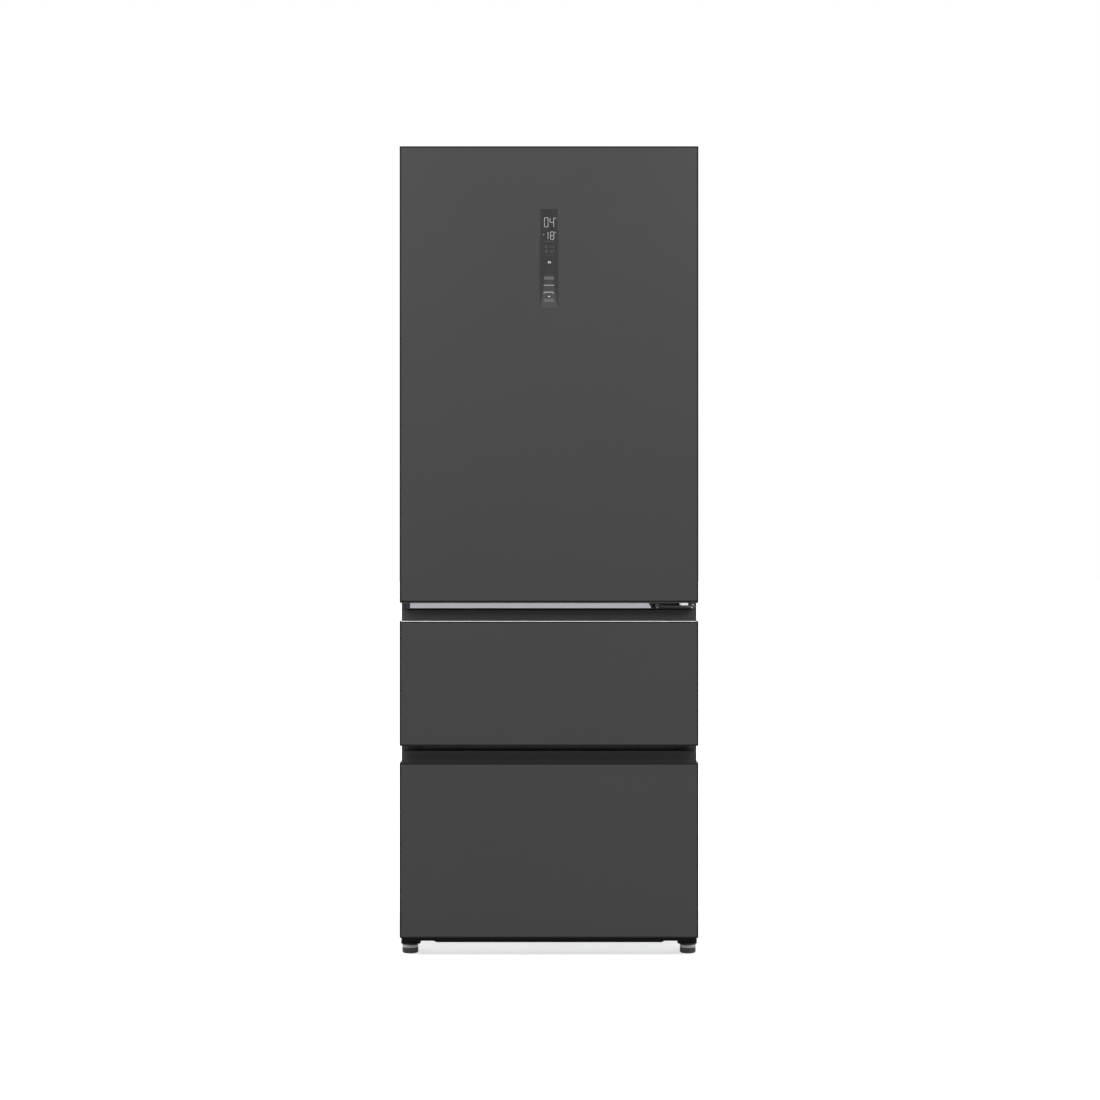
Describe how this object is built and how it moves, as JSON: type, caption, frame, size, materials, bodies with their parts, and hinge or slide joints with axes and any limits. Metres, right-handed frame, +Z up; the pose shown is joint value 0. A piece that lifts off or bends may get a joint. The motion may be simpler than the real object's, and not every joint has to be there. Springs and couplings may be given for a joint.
{
  "type": "fridge freezer",
  "caption": "Tall fridge freezer with a hinged fridge door over freezer drawers, recessed grips, a touch display and an open machine room at the rear.",
  "frame": {"origin": "on the floor, under the middle of the whole body", "axes": "+Z up, the door and drawers face -Y, +X to the right of someone who stands in front and faces the door"},
  "size_m": [0.7, 0.675, 1.9],
  "materials": {
    "front_paint": "fine matte anthracite lacquer",
    "shell_paint": "matte anthracite lacquer",
    "zinc_sheet": "galvanised sheet",
    "zinc_steel": "zinc plated steel",
    "black_steel": "black coated steel",
    "black_enamel": "black enamel",
    "black_plastic": "fine grained black plastic",
    "foot_plastic": "dark grey moulded plastic",
    "grey_plastic": "satin grey plastic",
    "liner": "satin white polystyrene",
    "foam": "cut polyurethane foam",
    "clear_plastic": "clear tinted polystyrene",
    "lamp_lens": "frosted diffuser",
    "shelf_glass": "clear toughened glass",
    "display_gloss": "black glossy panel",
    "board": "circuit board",
    "satin_strip": "satin anodised",
    "bare_aluminium": "mill finish",
    "tube_metal": "copper coated tube",
    "white_bush": "white acetal",
    "rubber": "black rubber",
    "gasket_rubber": "soft grey sealing rubber"
  },
  "bodies": {
    "root": {"outer_shell": "shell_paint", "back_panel": "zinc_sheet", "base_pan": "zinc_sheet", "cabinet_foam": "foam", "fridge_liner": "liner", "freezer_liner": "liner", "crossrail": "black_plastic", "plinth": "black_plastic", "base_brackets": "black_steel", "mid_hinge": "black_steel", "top_hinge": "zinc_steel", "top_hinge_cover": "black_plastic", "hinge_screws": "zinc_steel", "compressor": "black_enamel", "compressor_grommets": "rubber", "drip_tray": "black_plastic", "refrigerant_pipes": "tube_metal", "cord_gland": "black_plastic", "air_duct": "liner", "light_lens": "lamp_lens", "shelf_glass": "shelf_glass", "shelf_frames": "grey_plastic", "evaporator": "bare_aluminium", "evaporator_cover": "liner", "fan_motor": "black_plastic", "upper_fixed_rails": "zinc_steel", "lower_fixed_rails": "zinc_steel"},
    "evaporator_fan": {"evaporator_fan": "liner"},
    "door": {"door_skin": "front_paint", "door_top_cap": "black_plastic", "door_bottom_cap": "black_plastic", "grip_strip": "satin_strip", "door_foam": "foam", "door_liner": "liner", "door_gasket": "gasket_rubber", "display_lens": "display_gloss", "display_board": "board", "door_bins": "clear_plastic", "hinge_bushes": "white_bush"},
    "upper_drawer": {"upper_skin": "front_paint", "upper_grip": "black_plastic", "upper_inner_panel": "liner", "upper_gasket": "gasket_rubber", "upper_bin": "clear_plastic", "upper_inner_rails": "zinc_steel"},
    "upper_runners": {"upper_middle_rails": "zinc_steel"},
    "lower_drawer": {"lower_skin": "front_paint", "lower_grip": "black_plastic", "lower_inner_panel": "liner", "lower_gasket": "gasket_rubber", "lower_bin": "clear_plastic", "lower_inner_rails": "zinc_steel"},
    "lower_runners": {"lower_middle_rails": "zinc_steel"},
    "tray": {"lower_tray": "clear_plastic"},
    "left_crisper": {"left_crisper": "clear_plastic"},
    "right_crisper": {"right_crisper": "clear_plastic"},
    "left_foot": {"left_foot": "foot_plastic"},
    "right_foot": {"right_foot": "foot_plastic"},
    "left_roller": {"left_roller": "rubber"},
    "right_roller": {"right_roller": "rubber"}
  },
  "joints": [
    {"name": "door_hinge", "type": "hinge", "parent": "root", "child": "door", "pos_m": [0.317, -0.312, 0.832], "axis": [0, 0, 1], "range_deg": [0, 115]},
    {"name": "upper_drawer_slide", "type": "slide", "parent": "root", "child": "upper_drawer", "axis": [0, -1, 0], "range_m": [0, 0.4]},
    {"name": "upper_runner_slide", "type": "slide", "parent": "root", "child": "upper_runners", "axis": [0, -1, 0], "range_m": [0, 0.2]},
    {"name": "lower_drawer_slide", "type": "slide", "parent": "root", "child": "lower_drawer", "axis": [0, -1, 0], "range_m": [0, 0.4]},
    {"name": "lower_runner_slide", "type": "slide", "parent": "root", "child": "lower_runners", "axis": [0, -1, 0], "range_m": [0, 0.2]},
    {"name": "tray_slide", "type": "slide", "parent": "lower_drawer", "child": "tray", "axis": [0, 1, 0], "range_m": [0, 0.09]},
    {"name": "left_crisper_slide", "type": "slide", "parent": "root", "child": "left_crisper", "axis": [0, -1, 0], "range_m": [0, 0.04]},
    {"name": "right_crisper_slide", "type": "slide", "parent": "root", "child": "right_crisper", "axis": [0, -1, 0], "range_m": [0, 0.04]},
    {"name": "left_foot_screw", "type": "slide", "parent": "root", "child": "left_foot", "axis": [0, 0, -1], "range_m": [0, 0.012]},
    {"name": "right_foot_screw", "type": "slide", "parent": "root", "child": "right_foot", "axis": [0, 0, -1], "range_m": [0, 0.012]},
    {"name": "left_roller_turn", "type": "hinge", "parent": "root", "child": "left_roller", "pos_m": [-0.3, 0.2855, 0.012], "axis": [1, 0, 0], "continuous": true},
    {"name": "right_roller_turn", "type": "hinge", "parent": "root", "child": "right_roller", "pos_m": [0.3, 0.2855, 0.012], "axis": [1, 0, 0], "continuous": true},
    {"name": "fan_turn", "type": "hinge", "parent": "root", "child": "evaporator_fan", "pos_m": [0, 0.2195, 0.68], "axis": [0, 1, 0], "continuous": true}
  ],
  "couplings": [
    {"joint": "upper_runner_slide", "follows": "upper_drawer_slide", "ratio": 0.5},
    {"joint": "lower_runner_slide", "follows": "lower_drawer_slide", "ratio": 0.5}
  ]
}
